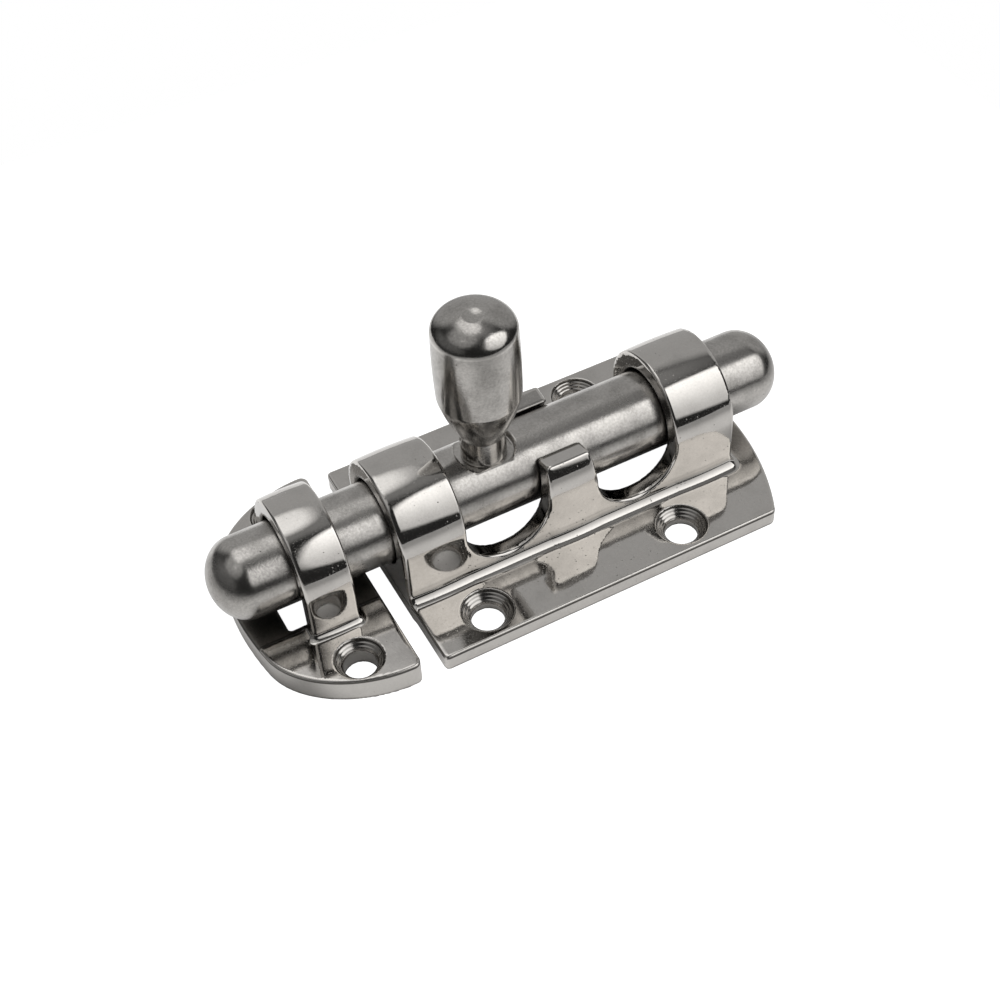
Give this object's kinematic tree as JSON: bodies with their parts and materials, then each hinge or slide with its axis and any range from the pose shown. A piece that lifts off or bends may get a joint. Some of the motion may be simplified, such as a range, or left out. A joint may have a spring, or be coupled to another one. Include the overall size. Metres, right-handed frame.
{
  "type": "barrel bolt",
  "caption": "Surface barrel bolt: a round rod slides through a two-sleeve body into an arched keeper, and an upright knob turns down into a notch in either side wall.",
  "frame": {"origin": "on the mounting face of both plates, below the middle of the rod", "axes": "+X along the rod from the keeper towards the tail, +Y across the plates, +Z away from the mounting face towards the knob; the rod is shown thrown into the keeper with its knob upright"},
  "size_m": [0.0782, 0.035, 0.0369],
  "materials": {
    "polished_steel": "mirror-polished cast stainless steel",
    "turned_steel": "satin turned stainless steel"
  },
  "bodies": {
    "base": {"body_casting": "polished_steel", "keeper_casting": "polished_steel"},
    "rod": {"bolt_rod": "turned_steel"},
    "knob": {"bolt_knob": "turned_steel"}
  },
  "joints": [
    {"name": "rod_slide", "type": "slide", "parent": "base", "child": "rod", "axis": [1, 0, 0], "range_m": [-0.0033, 0.0193]},
    {"name": "knob_turn", "type": "hinge", "parent": "rod", "child": "knob", "pos_m": [-0.00235, 0, 0.00985], "axis": [1, 0, 0], "range_deg": [-95, 95]}
  ]
}
